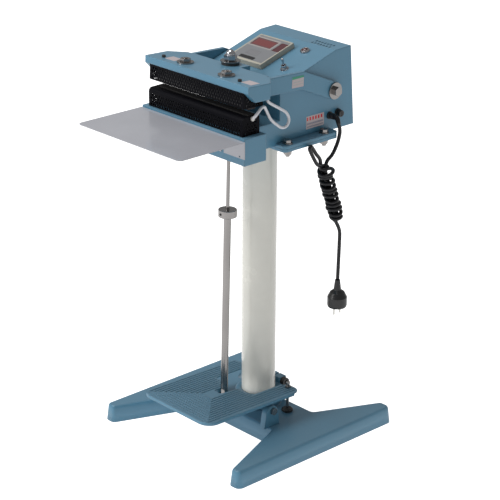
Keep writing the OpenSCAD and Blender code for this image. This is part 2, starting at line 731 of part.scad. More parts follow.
// One tread rib: a U that runs at the distance d inside the pedal's rim
module pedal_band(d) intersection() {
    difference() {
        translate([d - pedal_half, d - pedal_reach]) square([2*(pedal_half - d), pedal_reach + pedal_arm]);
        translate([d + rib_w - pedal_half, d + rib_w - pedal_reach])
            square([2*(pedal_half - d - rib_w), pedal_reach + pedal_arm]);
    }
    polygon(inset(rounded(pedal_outline, pedal_corners), 4.5));
}

module pedal() color(casting) on_pedal() difference() {
    union() {
        translate([0, 0, pedal_top - pedal_t]) linear_extrude(pedal_t)
            polygon(rounded(pedal_outline, pedal_corners));
        for (i = [0:rib_count - 1])
            translate([0, 0, pedal_top - 0.5]) linear_extrude(rib_h + 0.5) pedal_band(10 + i*rib_pitch);
        translate([0, 0, pedal_top - pedal_lip]) linear_extrude(pedal_lip - 1) difference() {
            polygon(rounded([[-pedal_half, -pedal_reach], [pedal_half, -pedal_reach],
                [pedal_half, pedal_arm - 20], [-pedal_half, pedal_arm - 20]], [30, 30, 0.5, 0.5]));
            polygon(rounded([[pedal_t - pedal_half, pedal_t - pedal_reach],
                [pedal_half - pedal_t, pedal_t - pedal_reach], [pedal_half - pedal_t, pedal_arm],
                [pedal_t - pedal_half, pedal_arm]], [27, 27, 0.5, 0.5]));
        }
        both_sides() {
            side_profile(ear_x, ear_x + ear_t) {
                circle(r = 12);
                polygon([[-46, pedal_top - 1], [-12, -2], [12, 0], [30, pedal_top - 1]]);
            }
            side_profile(slot_half + 1, slot_half + 5) {
                translate([pin_y, pin_z]) circle(r = 8);
                translate([pin_y - 8, pin_z]) square([16, pedal_top - 1 - pin_z]);
            }
        }
    }
    both_sides() along_x(ear_x - 1, 0, 0, pedal_bolt_d/2 + running, ear_t + 2);
    along_x(-slot_half - 6, pin_y, pin_z, pin_d/2, 2*slot_half + 12);
    translate([stop_x, stop_y - pedal_pivot_y, 0]) cylinder(r = stop_bolt_d/2, h = 60);
    translate([stop_x, stop_y - pedal_pivot_y, pedal_top]) cylinder(r = stop_bolt_d + 1, h = 10);
}

module pedal_pin() color(steel) on_pedal() {
    along_x(-slot_half - 8, pin_y, pin_z, pin_d/2, 2*slot_half + 16);
    along_x(slot_half + 5, pin_y, pin_z, pin_d/2 + 2, 3);
}

module pedal_pivot_bolts() color(steel) both_sides() {
    along_x(ear_x - 4, pedal_pivot_y, pedal_pivot_z, pedal_bolt_d/2, lug_x + lug_t - ear_x + 4);
    translate([lug_x + lug_t, pedal_pivot_y, pedal_pivot_z]) rotate([0, 90, 0])
        cylinder(r = pedal_bolt_d*0.92, h = 7, $fn = 6);
}

// The stop bolt stands on the base when the pedal is up
module on_stop(z) on_pedal() translate([stop_x, stop_y - pedal_pivot_y, z]) children();

module stop_bolt() color(steel) {
    on_stop(stop_foot_low + stop_foot_h - 5)
        cylinder(r = stop_bolt_d/2, h = pedal_top - stop_foot_low - stop_foot_h + 19);
    on_stop(pedal_top + 9) cylinder(r = stop_bolt_d*0.75, h = 6, $fn = 6);
}

module stop_nut() color(steel) on_stop(pedal_top) difference() {
    cylinder(r = stop_bolt_d, h = 5, $fn = 6);
    translate([0, 0, -1]) cylinder(r = stop_bolt_d/2, h = 8);
}

module stop_foot() color(black) on_stop(stop_foot_low) difference() {
    rotate_extrude()
        polygon([[0, 0], [12, 0], [13.5, 1.5], [13.5, 6], [10, stop_foot_h], [0, stop_foot_h]]);
    translate([0, 0, stop_foot_h - 5]) cylinder(r = stop_bolt_d/2, h = 8);
}

// Work table

module table() color("gainsboro") {
    translate([0, 0, beam_top - 5 - sheet_t]) linear_extrude(sheet_t) polygon(rounded([
        [-table_w/2, -beam_front - side_gap - table_d], [table_w/2, -beam_front - side_gap - table_d],
        [table_w/2, -beam_front - side_gap], [-table_w/2, -beam_front - side_gap]], [12, 12, 0.4, 0.4]));
    difference() {
        block([-table_w/2, -beam_front - side_gap - sheet_t, beam_top - 44],
              [table_w/2, -beam_front - side_gap, beam_top - 5 - sheet_t/2]);
        for (x = [-screw_x, screw_x])
            block([x - 4.5, -beam_front - 5, 0], [x + 4.5, -beam_front + 5, screw_z + 4.5]);
        for (x = [15 - table_w/2, table_w/2 - 15]) translate([x, -beam_front - 5, beam_top - 40])
            rotate([-90, 0, 0]) cylinder(r = 2, h = 10);
    }
}

// Lead, cord and plug

module heater_lead() color("white") tube(lead_points, lead_d/2, 8, 2);

module power_cord() color(black) {
    tube(cord_points, cord_d/2, 10, 2);
    tube(loop_points, cord_d/2, 10, 2);
    tube(tail_points, cord_d/2, 10, 2);
}

module along(a, b) translate(a) rotate([0, acos((b - a).z/norm(b - a)), atan2((b - a).y, (b - a).x)]) children();

module cord_bundle() color(black) along(coil_top, coil_low) {
    length = norm(coil_low - coil_top);
    rotate_extrude() polygon([[0, 0], [coil_d/2 - 6, 0], [coil_d/2, 8], [coil_d/2, length - 8],
                              [coil_d/2 - 6, length], [0, length]]);
}

plug_top = tail_points[len(tail_points) - 1];

module plug() color(black) translate(plug_top) mirror([0, 0, 1]) rotate_extrude()
    polygon([[0, 0], [6, 0], [9, 24], [17, 30], [23, 42], [23, 62], [21.5, 66], [0, 66]]);

module plug_pins() color("silver") for (y = [-9.5, 9.5])
    translate(plug_top + [0, y, -85]) cylinder(r = 2.4, h = 19);

base();
pole();
pedal_lugs();
clamp_bolt();
seat_plate();
cabinet();
mounting_flange();
flange_bolts();
flange_washers();
flange_nuts();
lower_beam();
lower_guard();
lower_bar();
lower_strip();
table_screws();
controller();
main_display();
red_display();
lamp_ring();
lamp_lens();
toggle_body();
gland();
fuse_holder();
jaw_pivot_bolts();
jaw_pivot_washers();
jaw_pivot_spacers();
pedal_pivot_bolts();
side_label();
lead_sockets();
heater_lead();
power_cord();
cord_bundle();
plug();
plug_pins();
jaw();
upper_guard();
upper_bar();
upper_strip();
stud_nuts();
stud_washers();
cap_screws();
jaw_labels();
arm_label();
lead_clip();
rod_spacer();
rod_washer();
upper_rod();
dome_nut();
collar();
collar_screw();
lower_tube();
pedal();
pedal_pin();
stop_bolt();
stop_nut();
stop_foot();
table();
toggle_lever();
fuse_cap();
controller_key();
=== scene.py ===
"""Foot-operated heat sealer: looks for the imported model, in metres, in the frame's own axes."""
import bmesh
import bpy
import json
from math import atan2, cos, pi, radians, sin, tau
from mathutils import Matrix, Vector


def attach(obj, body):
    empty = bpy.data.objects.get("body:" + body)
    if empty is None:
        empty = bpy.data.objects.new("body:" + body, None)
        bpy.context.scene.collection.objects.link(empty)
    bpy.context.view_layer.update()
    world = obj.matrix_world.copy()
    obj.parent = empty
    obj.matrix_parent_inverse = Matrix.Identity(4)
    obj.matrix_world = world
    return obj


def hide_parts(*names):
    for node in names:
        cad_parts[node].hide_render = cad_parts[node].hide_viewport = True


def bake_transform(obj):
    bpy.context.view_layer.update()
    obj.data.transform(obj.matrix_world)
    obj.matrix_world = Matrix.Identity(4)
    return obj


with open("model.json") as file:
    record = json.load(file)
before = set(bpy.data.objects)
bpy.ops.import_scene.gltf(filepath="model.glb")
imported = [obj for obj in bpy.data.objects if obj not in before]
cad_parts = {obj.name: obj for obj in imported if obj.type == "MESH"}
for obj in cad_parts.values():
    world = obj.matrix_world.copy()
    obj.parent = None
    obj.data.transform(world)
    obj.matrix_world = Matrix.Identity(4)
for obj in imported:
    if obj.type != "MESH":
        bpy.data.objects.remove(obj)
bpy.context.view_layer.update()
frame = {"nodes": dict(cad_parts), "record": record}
NODES = frame["nodes"]
RECORD = frame["record"]

# Camera and framing
AIM = Vector((-0.00898, -0.02104, 0.43063))
CAMERA_AZIMUTH = radians(47.076)
CAMERA_ELEVATION = radians(21.804)
CAMERA_ROLL = radians(0.295)
CAMERA_DISTANCE = 4.28567
CAMERA_LENS = 133.8
CAMERA_SENSOR = 36.0


def add_camera():
    back = Vector((sin(CAMERA_AZIMUTH) * cos(CAMERA_ELEVATION), -cos(CAMERA_AZIMUTH) * cos(CAMERA_ELEVATION),
                   sin(CAMERA_ELEVATION)))
    right = Vector((cos(CAMERA_AZIMUTH), sin(CAMERA_AZIMUTH), 0))
    up = back.cross(right)
    right, up = (cos(CAMERA_ROLL) * right + sin(CAMERA_ROLL) * up,
                 cos(CAMERA_ROLL) * up - sin(CAMERA_ROLL) * right)
    data = bpy.data.cameras.new("camera")
    data.lens = CAMERA_LENS
    data.sensor_width = CAMERA_SENSOR
    camera = bpy.data.objects.new("camera", data)
    turn = Matrix((right, up, back)).transposed().to_4x4()
    camera.matrix_world = Matrix.Translation(AIM + back * CAMERA_DISTANCE) @ turn
    bpy.context.collection.objects.link(camera)
    bpy.context.scene.camera = camera


# Routes of the power cord and the heater lead, as in the CAD
CORD_D = 0.0085
LEAD_D = 0.0065
COIL_D = 0.036
COIL_TURNS = 12
COIL_TURN_STEPS = 16
COIL_TILT = 0.0035
LOOSE_TURN = 0.007
COIL_TOP = Vector((0.150, 0.050, 0.664))
COIL_LOW = Vector((0.150, 0.104, 0.513))
CORD_EXIT = (0.137, 0.097, 0.762)
CORD_POINTS = [
    CORD_EXIT, (0.146, 0.097, 0.760), (0.152, 0.096, 0.750), (0.153, 0.100, 0.732), (0.152, 0.097, 0.712),
    (0.151, 0.088, 0.692), (0.150, 0.078, 0.678), (0.150, 0.064, 0.668), tuple(COIL_TOP)]
LOOP_POINTS = [
    (0.151, 0.045, 0.662), (0.154, 0.031, 0.668), (0.156, 0.018, 0.684), (0.158, 0.005, 0.704),
    (0.159, 0.000, 0.714), (0.158, 0.005, 0.718), (0.156, 0.014, 0.709), (0.154, 0.026, 0.694),
    (0.152, 0.040, 0.678), (0.150, 0.050, 0.664)]
RELIEF_R = 0.0066
RELIEF_TAPER = 0.0018
RELIEF_RINGS = 18
TAIL_POINTS = [
    tuple(COIL_LOW), (0.150, 0.109, 0.492), (0.150, 0.110, 0.465), (0.150, 0.109, 0.430),
    (0.150, 0.108, 0.400), (0.150, 0.107, 0.370)]
LEAD_POINTS = [
    (0.150, -0.121, 0.850), (0.151, -0.116, 0.842), (0.151, -0.084, 0.822), (0.151, -0.064, 0.808),
    (0.151, -0.057, 0.792), (0.151, -0.063, 0.779), (0.151, -0.078, 0.778), (0.151, -0.096, 0.790),
    (0.151, -0.112, 0.805), (0.152, -0.125, 0.826), (0.155, -0.134, 0.837), (0.158, -0.145, 0.838),
    (0.161, -0.157, 0.832), (0.160, -0.165, 0.824), (0.154, -0.168, 0.818)]


def smooth_route(points, steps):
    """A curve through the points, with some steps between each pair."""
    pts = [Vector(p) for p in points]
    line = []
    for i in range(len(pts) - 1):
        a, b, c, d = pts[max(i - 1, 0)], pts[i], pts[i + 1], pts[min(i + 2, len(pts) - 1)]
        for s in range(steps):
            t = s / steps
            line.append((2 * b + (c - a) * t + (2 * a - 5 * b + 4 * c - d) * t * t
                         + (3 * b - a - 3 * c + d) * t ** 3) / 2)
    return line + [pts[-1]]


def winding():
    """The coil's slightly uneven turns round its two inner runs, from its top to its low end."""
    axis = COIL_LOW - COIL_TOP
    side = axis.cross(Vector((1, 0, 0))).normalized()
    out = side.cross(axis).normalized()
    radius = (COIL_D - CORD_D) / 2
    steps = COIL_TURN_STEPS * COIL_TURNS
    turns = []
    for i in range(steps + 1):
        t = i / steps
        angle = tau * COIL_TURNS * t
        uneven = 1 + 0.07 * sin(angle * 0.37) + 0.05 * sin(angle * 0.23 + 1)
        grow = radius * uneven * min(1.0, 0.50 + 4 * t, 0.5 + 5 * (1 - t))
        if 1.0 < angle / tau < 2.0:
            grow += LOOSE_TURN * sin(angle / 2 % pi) ** 2
        tilt = COIL_TILT * sin(angle + 0.8) * sin(angle * 0.31)
        turns.append(COIL_TOP + axis * (0.04 + 0.92 * t) + axis.normalized() * tilt
                     + grow * (side * cos(angle) + out * sin(angle)))
    return turns


def cord_route():
    """The whole cord: down the coil's middle and back, round the small loop, the winding and the tail."""
    axis = COIL_LOW - COIL_TOP
    half = CORD_D / 2
    beside = Vector((half, 0, 0))
    down = [COIL_TOP + axis * t + beside for t in (0.1, 0.35, 0.6, 0.8)]
    fold = [COIL_TOP + axis * 0.86 + beside * cos(pi * i / 6) + axis.normalized() * half * sin(pi * i / 6)
            for i in range(7)]
    up = [COIL_TOP + axis * t - beside for t in (0.8, 0.6, 0.35, 0.1)]
    hidden = down + fold + up
    return smooth_route(CORD_POINTS[:-1] + hidden + LOOP_POINTS[:-1] + winding() + TAIL_POINTS[1:], 3)


def tube_mesh(name, line, radii, sides=12):
    """A closed round tube along a line, with a radius at each of its points."""
    mesh = bpy.data.meshes.new(name)
    verts, faces = [], []
    side = Vector((0, 1, 0.02))
    for i, place in enumerate(line):
        ahead = (line[min(i + 1, len(line) - 1)] - line[max(i - 1, 0)]).normalized()
        side = (side - ahead * side.dot(ahead)).normalized()
        up = ahead.cross(side)
        verts += [place + radii[i] * (side * cos(tau * k / sides) + up * sin(tau * k / sides))
                  for k in range(sides)]
    for i in range(len(line) - 1):
        for k in range(sides):
            a, b = i * sides + k, i * sides + (k + 1) % sides
            faces.append((a, b, b + sides, a + sides))
    faces.append(tuple(reversed(range(sides))))
    faces.append(tuple(range((len(line) - 1) * sides, len(line) * sides)))
    mesh.from_pydata([tuple(v) for v in verts], [], faces)
    mesh.shade_smooth()
    piece = bpy.data.objects.new(name, mesh)
    bpy.context.collection.objects.link(piece)
    return piece


def add_power_cord():
    line = cord_route()
    piece = tube_mesh("mains_cord", line, [CORD_D / 2] * len(line), 14)
    piece.data.materials.append(FINISHES["cord_jacket"])
    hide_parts("power_cord", "cord_bundle")
    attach(piece, "stand")


def add_heater_lead():
    line = smooth_route(LEAD_POINTS, 6)
    piece = tube_mesh("lead_sleeve", line, [LEAD_D / 2] * len(line), 16)
    piece.data.materials.append(FINISHES["lead_sleeve"])
    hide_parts("heater_lead")
    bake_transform(piece)


def add_strain_relief():
    """The tapered sleeve on the cord at its gland."""
    line = smooth_route(CORD_POINTS[:4], 8)[:RELIEF_RINGS]
    radii = [RELIEF_R - RELIEF_TAPER * i / (len(line) - 1) for i in range(len(line))]
    piece = tube_mesh("strain_relief", line, radii, 20)
    piece.data.materials.append(FINISHES["cord_jacket"])
    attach(piece, "stand")


# Perforated guards
SHEET = 0.0015
GUARD_HALF = 0.154
HOLE = 0.0056
HOLE_PITCH = 0.0082
ROW_PITCH = HOLE_PITCH * 0.866
SIDE_MARGIN = 0.006
END_MARGIN = 0.002
GUARD_CORNER = 0.009
ROW_COUNT_FROM = 20.25  # keeps every row's number above zero
JAW_TURN = radians(-2.4)
JAW_PIVOT = Vector((0, 0.1, 0.821))


def build_perforation():
    """A flat sheet in XY, centred, with staggered round holes."""
    tree = bpy.data.node_groups.new("perforated_sheet", "GeometryNodeTree")
    for label, kind, value in (("Width", "NodeSocketFloat", 0.3), ("Height", "NodeSocketFloat", 0.04),
                               ("Thickness", "NodeSocketFloat", SHEET), ("Hole", "NodeSocketFloat", HOLE),
                               ("Columns", "NodeSocketInt", 30), ("Rows", "NodeSocketInt", 4),
                               ("Pitch", "NodeSocketFloat", HOLE_PITCH),
                               ("Row Pitch", "NodeSocketFloat", ROW_PITCH),
                               ("Paint", "NodeSocketMaterial", None)):
        socket = tree.interface.new_socket(label, in_out="INPUT", socket_type=kind)
        if value is not None:
            socket.default_value = value
    tree.interface.new_socket("Geometry", in_out="OUTPUT", socket_type="NodeSocketGeometry")
    given = tree.nodes.new("NodeGroupInput").outputs
    result = tree.nodes.new("NodeGroupOutput")

    def combine(x, y, z):
        return wire(tree, "ShaderNodeCombineXYZ", X=x, Y=y, Z=z).outputs[0]

    slab = wire(tree, "GeometryNodeMeshCube",
                Size=combine(given["Width"], given["Height"], given["Thickness"]))
    grid = wire(tree, "GeometryNodeMeshGrid", Vertices_X=given["Columns"], Vertices_Y=given["Rows"])
    for name, count, pitch in (("Size X", "Columns", "Pitch"), ("Size Y", "Rows", "Row Pitch")):
        gaps = math_node(tree, "SUBTRACT", given[count], 1.0)
        tree.links.new(math_node(tree, "MULTIPLY", gaps, given[pitch]), grid.inputs[name])
    place = wire(tree, "ShaderNodeSeparateXYZ", Vector=tree.nodes.new("GeometryNodeInputPosition").outputs[0])
    row = math_node(tree, "DIVIDE", place.outputs["Y"], given["Row Pitch"])
    row = math_node(tree, "FLOOR", math_node(tree, "ADD", row, ROW_COUNT_FROM))
    odd = math_node(tree, "SUBTRACT", math_node(tree, "MODULO", row, 2.0), 0.5)
    shift = math_node(tree, "MULTIPLY", math_node(tree, "MULTIPLY", odd, 0.5), given["Pitch"])
    moved = wire(tree, "GeometryNodeSetPosition", Geometry=grid.outputs["Mesh"],
                 Offset=combine(shift, 0.0, 0.0))
    punch = wire(tree, "GeometryNodeMeshCylinder", Vertices=10, Depth=4 * SHEET,
                 Radius=math_node(tree, "MULTIPLY", given["Hole"], 0.5))
    punches = wire(tree, "GeometryNodeInstanceOnPoints", Points=moved.outputs[0],
                   Instance=punch.outputs["Mesh"])
    solid = wire(tree, "GeometryNodeRealizeInstances", Geometry=punches.outputs[0])
    cut = tree.nodes.new("GeometryNodeMeshBoolean")
    cut.operation = "DIFFERENCE"
    cut.solver = "MANIFOLD"
    tree.links.new(slab.outputs["Mesh"], cut.inputs["Mesh 1"])
    tree.links.new(solid.outputs[0], cut.inputs["Mesh 2"])
    whole = wire(tree, "GeometryNodeRealizeInstances", Geometry=cut.outputs["Mesh"])
    painted = wire(tree, "GeometryNodeSetMaterial", Geometry=whole.outputs[0], Material=given["Paint"])
    tree.links.new(painted.outputs[0], result.inputs[0])
    return tree


def set_inputs(modifier, **values):
    """Sets a modifier's inputs by name, through their identifiers."""
    ids = {item.name: item.identifier for item in modifier.node_group.interface.items_tree
           if item.item_type == "SOCKET" and item.in_out == "INPUT"}
    for key, value in values.items():
        modifier[ids[key.replace("_", " ")]] = value


def perforated(tree, width, height):
    """The mesh of one perforated panel."""
    holder = bpy.data.objects.new("panel", bpy.data.meshes.new("panel"))
    bpy.context.collection.objects.link(holder)
    modifier = holder.modifiers.new("perforate", "NODES")
    modifier.node_group = tree
    set_inputs(modifier, Width=width, Height=height, Row_Pitch=ROW_PITCH,
               Columns=int((width - SIDE_MARGIN) / HOLE_PITCH), Rows=int((height - END_MARGIN) / ROW_PITCH),
               Paint=FINISHES["guard_paint"])
    ready = holder.evaluated_get(bpy.context.evaluated_depsgraph_get())
    mesh = bpy.data.meshes.new_from_object(ready)
    bpy.data.objects.remove(holder)
    return mesh


def panel_turn(origin, across, up):
    """Puts a panel's centre at origin, its width along across and its height along up."""
    across, up = Vector(across), Vector(up)
    turn = Matrix((across, up, across.cross(up))).transposed().to_4x4()
    return Matrix.Translation(origin) @ turn


def add_profile(sheet, profile, x0, x1):
    """A closed prism along X from a YZ outline."""
    ends = [[sheet.verts.new((x, y, z)) for y, z in profile] for x in (x0, x1)]
    count = len(profile)
    made = [sheet.faces.new(list(reversed(ends[0]))), sheet.faces.new(ends[1])]
    for i in range(count):
        j = (i + 1) % count
        made.append(sheet.faces.new((ends[0][i], ends[0][j], ends[1][j], ends[1][i])))
    bmesh.ops.recalc_face_normals(sheet, faces=made)


def arc(y, z, radius, start, end, steps=8):
    """Points on a round stretch of a YZ outline, from one angle in degrees to another."""
    return [(y + radius * cos(radians(start + (end - start) * i / steps)),
             z + radius * sin(radians(start + (end - start) * i / steps))) for i in range(steps + 1)]


def add_guard(name, front, rear, low, high, profiles, node, body, turned):
    """Four perforated walls with closed strips over them."""
    tree = bpy.data.node_groups.get("perforated_sheet") or build_perforation()
    middle = (low + high) / 2
    deep = rear - front - 2 * SHEET
    walls = [
        (2 * GUARD_HALF, Vector((0, front + SHEET / 2, middle)), (1, 0, 0)),
        (2 * GUARD_HALF, Vector((0, rear - SHEET / 2, middle)), (-1, 0, 0)),
        (deep, Vector((GUARD_HALF - SHEET / 2, (front + rear) / 2, middle)), (0, 1, 0)),
        (deep, Vector((SHEET / 2 - GUARD_HALF, (front + rear) / 2, middle)), (0, -1, 0))]
    sheet = bmesh.new()
    for width, place, across in walls:
        mesh = perforated(tree, width, high - low)
        mesh.transform(panel_turn(place, across, (0, 0, 1)))
        sheet.from_mesh(mesh)
        bpy.data.meshes.remove(mesh)
    for profile, x0, x1 in profiles:
        add_profile(sheet, profile, x0, x1)
    if turned:
        sheet.transform(Matrix.Translation(JAW_PIVOT) @ Matrix.Rotation(JAW_TURN, 4, "X")
                        @ Matrix.Translation(-JAW_PIVOT))
    mesh = bpy.data.meshes.new(name)
    sheet.to_mesh(mesh)
    sheet.free()
    mesh.materials.clear()
    mesh.materials.append(FINISHES["guard_paint"])
    piece = bpy.data.objects.new(name, mesh)
    bpy.context.collection.objects.link(piece)
    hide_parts(node)
    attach(piece, body)


def add_guards():
    front, rear, low, high = -0.196, -0.147, 0.782, 0.815
    top, bar_front, bar_rear = 0.824, -0.1765, -0.1555
    front_shoulder = arc(front + GUARD_CORNER, high, GUARD_CORNER, 180, 90)
    rear_shoulder = arc(rear - GUARD_CORNER, high, GUARD_CORNER, 90, 0)
    inner_corner = GUARD_CORNER - SHEET
    over_front = front_shoulder + [(bar_front, top), (bar_front, top - SHEET)] \
        + arc(front + GUARD_CORNER, high, inner_corner, 90, 180)
    over_rear = [(bar_rear, top)] + rear_shoulder \
        + arc(rear - GUARD_CORNER, high, inner_corner, 0, 90) + [(bar_rear, top - SHEET)]
    cap = front_shoulder + rear_shoulder
    inside = GUARD_HALF - SHEET
    add_guard("lower_mesh_guard", front, rear, low, high, [
        (over_front, -inside, inside), (over_rear, -inside, inside),
        (cap, -GUARD_HALF, -inside), (cap, inside, GUARD_HALF)],
        "lower_guard", "stand", False)
    front, rear, low, high = -0.1936, -0.1384, 0.831, 0.8645
    lid = [(front, high), (rear, high), (rear, high + SHEET), (front, high + SHEET)]
    add_guard("upper_mesh_guard", front, rear, low, high, [(lid, -GUARD_HALF, GUARD_HALF)],
              "upper_guard", "jaw", True)


# Base casting with leaning sides and a soft rim
BASE_H = 0.041
BASE_WALL = 0.009
POLE_R = 0.040
HUB_R = 0.054
HUB_H = 0.077
HUB_CHAMFER = 0.002
POLE_GAP = 0.0002
ROUND_SIDES = 64
HOLLOW_LEAN = 0.002
EAR_HALF_GAP = 0.012
EAR_PLACE = (0.0595, 0.0630)
EAR_SIZE = (0.020, 0.021, 0.058)
BASE_OUTLINE = [
    (0.237, -0.280), (0.237, 0.216), (0.199, 0.216), (0.126, 0.059), (-0.126, 0.059), (-0.199, 0.216),
    (-0.237, 0.216), (-0.237, -0.280), (-0.205, -0.280), (-0.126, -0.082), (0.126, -0.082), (0.205, -0.280)]
BASE_CORNERS = [0.014, 0.016, 0.015, 0.008, 0.008, 0.015, 0.016, 0.014, 0.012, 0.008, 0.008, 0.012]
BASE_SKIRT = [(0.0, 0.0), (0.034, 0.0040), (0.038, 0.0052), (0.0402, 0.0068), (BASE_H, 0.0092)]


def rounded_outline(points, radii, steps=6):
    """A closed outline, listed anticlockwise, with each corner on its own arc."""
    line = []
    for i, (place, radius) in enumerate(zip(points, radii)):
        here = Vector(place)
        before = (Vector(points[i - 1]) - here).normalized()
        after = (Vector(points[(i + 1) % len(points)]) - here).normalized()
        half = before.angle(after) / 2
        centre = here + (before + after).normalized() * radius / sin(half)
        start, end = (here + side * radius * cos(half) / sin(half) - centre for side in (before, after))
        first = atan2(start.y, start.x)
        turn = (atan2(end.y, end.x) - first + pi) % tau - pi
        line += [centre + radius * Vector((cos(first + turn * k / steps), sin(first + turn * k / steps)))
                 for k in range(steps + 1)]
    return line


def inset_outline(line, distance):
    """The same outline, moved inwards by a distance."""
    inner = []
    for i, here in enumerate(line):
        sides = [(here - line[i - 1]).normalized(), (line[(i + 1) % len(line)] - here).normalized()]
        n, m = (Vector((-v.y, v.x)) for v in sides)
        inner.append(here + (n + m) * distance / (1 + n.dot(m)))
    return inner


def add_rings(sheet, rings, smooth=True):
    """Joins rings of points, one after the other, and closes both ends."""
    made = [[sheet.verts.new(v) for v in ring] for ring in rings]
    count = len(rings[0])
    faces = [sheet.faces.new((low[k], low[(k + 1) % count], high[(k + 1) % count], high[k]))
             for low, high in zip(made, made[1:]) for k in range(count)]
    for face in faces:
        face.smooth = smooth
    faces += [sheet.faces.new(list(reversed(made[0]))), sheet.faces.new(made[-1])]
    return faces


def circle(radius, z, count=ROUND_SIDES):
    return [(radius * cos(tau * k / count), radius * sin(tau * k / count), z) for k in range(count)]


def hub_mesh(ceiling):
    """The round hub that the pole stands in, with the two ears of its clamp."""
    hub = bmesh.new()
    bore = POLE_R + POLE_GAP
    loop = [(HUB_R, ceiling), (HUB_R, HUB_H - HUB_CHAMFER), (HUB_R - HUB_CHAMFER, HUB_H), (bore, HUB_H),
            (bore, ceiling)]
    made = [[hub.verts.new(v) for v in circle(r, z)] for r, z in loop]
    for low, high in zip(made, made[1:] + made[:1]):
        for k in range(ROUND_SIDES):
            j = (k + 1) % ROUND_SIDES
            hub.faces.new((low[k], low[j], high[j], high[k])).smooth = True
    for x in (-EAR_HALF_GAP, EAR_HALF_GAP):
        bmesh.ops.create_cube(hub, size=1.0, matrix=Matrix.Translation((x, *EAR_PLACE))
                              @ Matrix.Diagonal((*EAR_SIZE, 1)))
    bmesh.ops.recalc_face_normals(hub, faces=hub.faces[:])
    mesh = bpy.data.meshes.new("hub")
    hub.to_mesh(mesh)
    hub.free()
    return mesh


def add_base_casting():
    """The hollow X-shaped foot, open below, with its hub."""
    outline = rounded_outline(BASE_OUTLINE, BASE_CORNERS)
    rings = [[(*v, z) for v in inset_outline(outline, inward)] for z, inward in BASE_SKIRT]
    ceiling = BASE_H - BASE_WALL
    hollow = [[(*v, z) for v in inset_outline(outline, inward)]
              for z, inward in ((ceiling, BASE_WALL + HOLLOW_LEAN), (0.0, BASE_WALL))]
    sheet = bmesh.new()
    outer = add_rings(sheet, rings)
    inner = add_rings(sheet, hollow, smooth=False)
    bottom = outer[-2], inner[-1]
    outer_edge, inner_edge = (list(face.verts) for face in bottom)
    bmesh.ops.delete(sheet, geom=list(bottom), context="FACES_ONLY")
    outer_edge.reverse()
    for k in range(len(outer_edge)):
        j = (k + 1) % len(outer_edge)
        sheet.faces.new((outer_edge[j], outer_edge[k], inner_edge[k], inner_edge[j]))
    mesh = bpy.data.meshes.new("base_casting")
    bmesh.ops.recalc_face_normals(sheet, faces=sheet.faces[:])
    hub = hub_mesh(ceiling)
    sheet.from_mesh(hub)
    sheet.to_mesh(mesh)
    sheet.free()
    bpy.data.meshes.remove(hub)
    mesh.materials.append(FINISHES["casting"])
    piece = bpy.data.objects.new("base_casting", mesh)
    bpy.context.collection.objects.link(piece)
    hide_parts("base")
    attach(piece, "stand")


# Shader helpers and shared effects
def wire(tree, kind, settings=None, **links):
    """A new node. Links feed its inputs, from sockets or values, by name or as in0, in1 and so on."""
    made = tree.nodes.new(kind)
    for key, value in (settings or {}).items():
        setattr(made, key, value)
    for key, value in links.items():
        numbered = key.startswith("in") and key[2:].isdigit()
        socket = made.inputs[int(key[2:]) if numbered else key.replace("_", " ")]
        if isinstance(value, bpy.types.NodeSocket):
            tree.links.new(value, socket)
        else:
            socket.default_value = value
    return made


def new_group(name, inputs, outputs):
    group = bpy.data.node_groups.new(name, "ShaderNodeTree")
    for label, kind, value in inputs:
        socket = group.interface.new_socket(label, in_out="INPUT", socket_type=kind)
        if value is not None:
            socket.default_value = value
    for label, kind in outputs:
        group.interface.new_socket(label, in_out="OUTPUT", socket_type=kind)
    return group, group.nodes.new("NodeGroupInput"), group.nodes.new("NodeGroupOutput")


def math_node(tree, operation, a, b=0.0, clamp=False):
    return wire(tree, "ShaderNodeMath", {"operation": operation, "use_clamp": clamp}, in0=a, in1=b).outputs[0]


def span(tree, value, low, high, to_low=0.0, to_high=1.0):
    """Turns one range of values into another, and holds it there past its ends."""
    made = wire(tree, "ShaderNodeMapRange", {"clamp": True}, Value=value)
    made.inputs["From Min"].default_value = low
    made.inputs["From Max"].default_value = high
    made.inputs["To Min"].default_value = to_low
    made.inputs["To Max"].default_value = to_high
    return made.outputs["Result"]


def blend_colour(tree, factor, a, b, how="MIX"):
    made = wire(tree, "ShaderNodeMix", {"data_type": "RGBA", "blend_type": how})
    for socket, value in zip((made.inputs[0], made.inputs[6], made.inputs[7]), (factor, a, b)):
        if isinstance(value, bpy.types.NodeSocket):
            tree.links.new(value, socket)
        else:
            socket.default_value = value
    return made.outputs[2]


def build_soft_edge():
    """Rounds the look of sharp edges, and finds them."""
    group, given, result = new_group("soft_edge", [("Radius", "NodeSocketFloat", 0.0015)],
                                     [("Normal", "NodeSocketVector"), ("Edge", "NodeSocketFloat")])
    bevel = wire(group, "ShaderNodeBevel", {"samples": 4}, Radius=given.outputs["Radius"])
    face = group.nodes.new("ShaderNodeNewGeometry")
    match = wire(group, "ShaderNodeVectorMath", {"operation": "DOT_PRODUCT"}, in0=bevel.outputs[0],
                 in1=face.outputs["Normal"])
    group.links.new(bevel.outputs[0], result.inputs["Normal"])
    group.links.new(span(group, match.outputs["Value"], 0.995, 0.80), result.inputs["Edge"])
    return group


